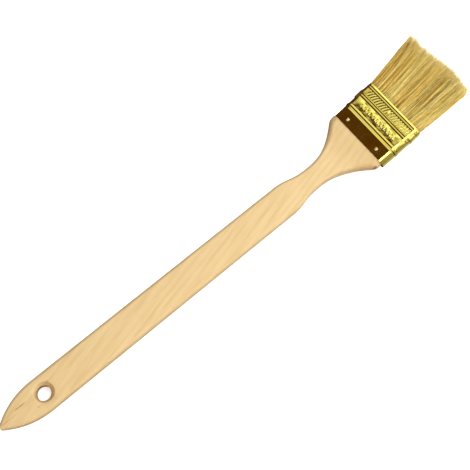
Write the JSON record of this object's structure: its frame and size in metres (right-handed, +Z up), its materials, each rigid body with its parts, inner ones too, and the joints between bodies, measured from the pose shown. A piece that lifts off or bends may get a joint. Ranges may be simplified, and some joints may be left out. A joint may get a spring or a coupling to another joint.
{
  "type": "paint brush",
  "caption": "Flat natural-bristle brush on a long pointed beech handle with a hanging hole; a gold sheet-metal ferrule holds the head, which is bent up from the handle.",
  "frame": {"origin": "middle of the whole brush in X and Y, on the plane of the handle's flat back, which it lies on", "axes": "+X along the handle from the tail towards the bristles, +Y across the brush to the left seen from the tail, +Z up out of the front face, the way the head is bent"},
  "size_m": [0.3902, 0.0604, 0.0441],
  "materials": {
    "beech": "sanded pale beech under a thin clear lacquer",
    "ferrule_metal": "mirror-bright gold-lacquered sheet steel, about 0.45 mm thick",
    "nail_steel": "bright domed nail heads",
    "filler_wood": "raw sawn strip",
    "resin": "set amber-brown glue",
    "bristle": "golden hog bristle with pale split tips"
  },
  "bodies": {
    "root": {"handle": "beech", "ferrule": "ferrule_metal", "nail_front_left": "nail_steel", "nail_front_right": "nail_steel", "nail_back_left": "nail_steel", "nail_back_right": "nail_steel", "filler_strip": "filler_wood", "resin_setting": "resin", "bristles_front": "bristle", "bristles_back": "bristle"}
  },
  "joints": []
}
